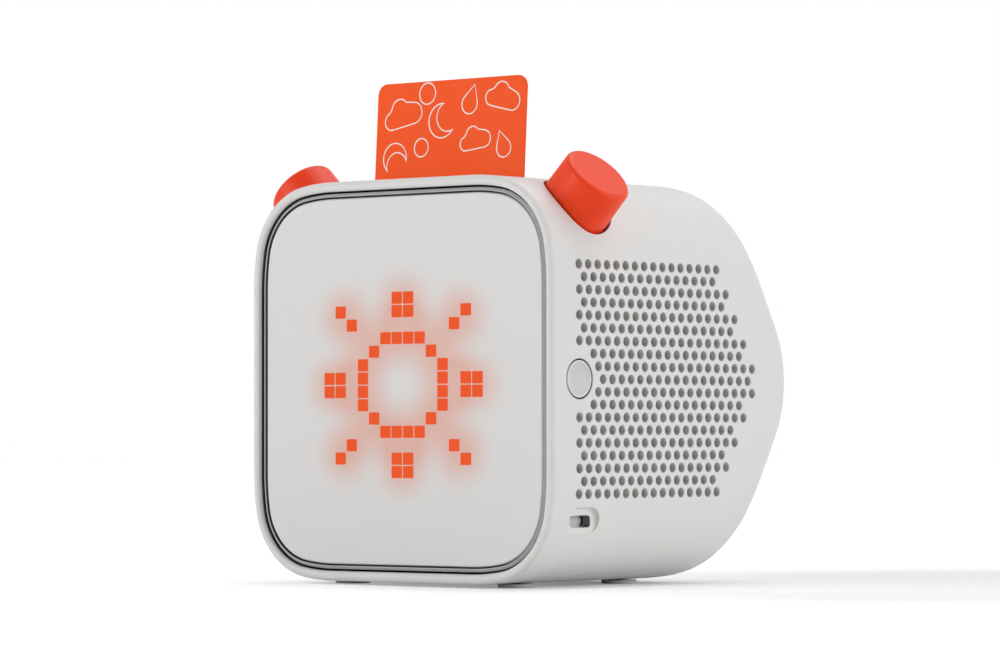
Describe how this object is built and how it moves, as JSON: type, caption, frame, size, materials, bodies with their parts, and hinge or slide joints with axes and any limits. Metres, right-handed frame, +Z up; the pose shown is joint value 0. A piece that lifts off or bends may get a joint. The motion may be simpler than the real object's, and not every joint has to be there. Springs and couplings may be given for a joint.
{
  "type": "audio story player",
  "caption": "Soft-cornered white tabletop audio player with a pixel display front, corner knobs, a top card slot and a perforated side.",
  "frame": {"origin": "on the standing surface, below the middle of the body's width and depth", "axes": "+Z up, -Y towards the display, +X to the right of a viewer facing the display"},
  "size_m": [0.1224, 0.099, 0.1373],
  "materials": {
    "housing_white": "fine matt moulded plastic",
    "display_plate": "milky translucent plastic with a satin face",
    "diffuser_white": "matt white film",
    "dark_cloth": "fine woven acoustic cloth",
    "dark_foam": "closed-cell foam",
    "circuit_board": "solder-masked laminate",
    "inner_grey": "plain moulded plastic",
    "shield_steel": "tinned sheet",
    "socket_steel": "plain drawn shell",
    "shaft_steel": "turned",
    "switch_black": "plain moulded plastic",
    "cone_paper": "coated pressed paper",
    "magnet_nickel": "nickel plate",
    "battery_wrap": "shrink wrap",
    "foot_rubber": "soft matt pads",
    "card_orange": "satin laminated card",
    "knob_orange": "fine matt moulded plastic"
  },
  "bodies": {
    "player": {"housing_shell": "housing_white", "right_grille": "housing_white", "left_grille": "housing_white", "right_grille_cloth": "dark_cloth", "left_grille_cloth": "dark_cloth", "bezel_ring": "housing_white", "display_lens": "display_plate", "lens_gasket": "dark_foam", "diffuser_sheet": "diffuser_white", "light_frame": "diffuser_white", "led_board": "circuit_board", "chassis": "inner_grey", "card_guide": "inner_grey", "antenna_board": "circuit_board", "main_board": "circuit_board", "processor_shield": "shield_steel", "power_switch": "switch_black", "power_board": "circuit_board", "usb_shell": "socket_steel", "usb_tongue": "switch_black", "io_board": "circuit_board", "battery_pack": "battery_wrap", "foot_pads": "foot_rubber", "right_speaker_gasket": "dark_foam", "right_speaker_basket": "switch_black", "right_speaker_cone": "cone_paper", "right_speaker_magnet": "magnet_nickel", "right_speaker_box": "inner_grey", "right_encoder_body": "switch_black", "right_encoder_board": "circuit_board", "left_speaker_gasket": "dark_foam", "left_speaker_basket": "switch_black", "left_speaker_cone": "cone_paper", "left_speaker_magnet": "magnet_nickel", "left_speaker_box": "inner_grey", "left_encoder_body": "switch_black", "left_encoder_board": "circuit_board"},
    "right_plunger": {"right_encoder_plunger": "shaft_steel"},
    "left_plunger": {"left_encoder_plunger": "shaft_steel"},
    "right_dial": {"right_knob": "knob_orange", "right_encoder_shaft": "shaft_steel"},
    "left_dial": {"left_knob": "knob_orange", "left_encoder_shaft": "shaft_steel"},
    "power_key": {"power_button": "housing_white"},
    "card": {"story_card": "card_orange"}
  },
  "joints": [
    {"name": "right_dial_push", "type": "slide", "parent": "player", "child": "right_plunger", "axis": [-0.7071, 0, -0.7071], "range_m": [0, 0.0005], "stiffness_N_per_m": 3000, "springref_m": -0.0005},
    {"name": "left_dial_push", "type": "slide", "parent": "player", "child": "left_plunger", "axis": [0.7071, 0, -0.7071], "range_m": [0, 0.0005], "stiffness_N_per_m": 3000, "springref_m": -0.0005},
    {"name": "right_dial_turn", "type": "hinge", "parent": "right_plunger", "child": "right_dial", "pos_m": [0.0495, -0.02996, 0.1047], "axis": [0.7071, 0, 0.7071], "continuous": true},
    {"name": "left_dial_turn", "type": "hinge", "parent": "left_plunger", "child": "left_dial", "pos_m": [-0.0495, -0.02996, 0.1047], "axis": [-0.7071, 0, 0.7071], "continuous": true},
    {"name": "power_push", "type": "slide", "parent": "player", "child": "power_key", "axis": [-1, 0, 0], "range_m": [0, 0.0004], "stiffness_N_per_m": 1500, "springref_m": -0.0008},
    {"name": "card_slide", "type": "slide", "parent": "player", "child": "card", "axis": [0, 0.0593, 0.9982], "range_m": [0, 0.065]}
  ]
}
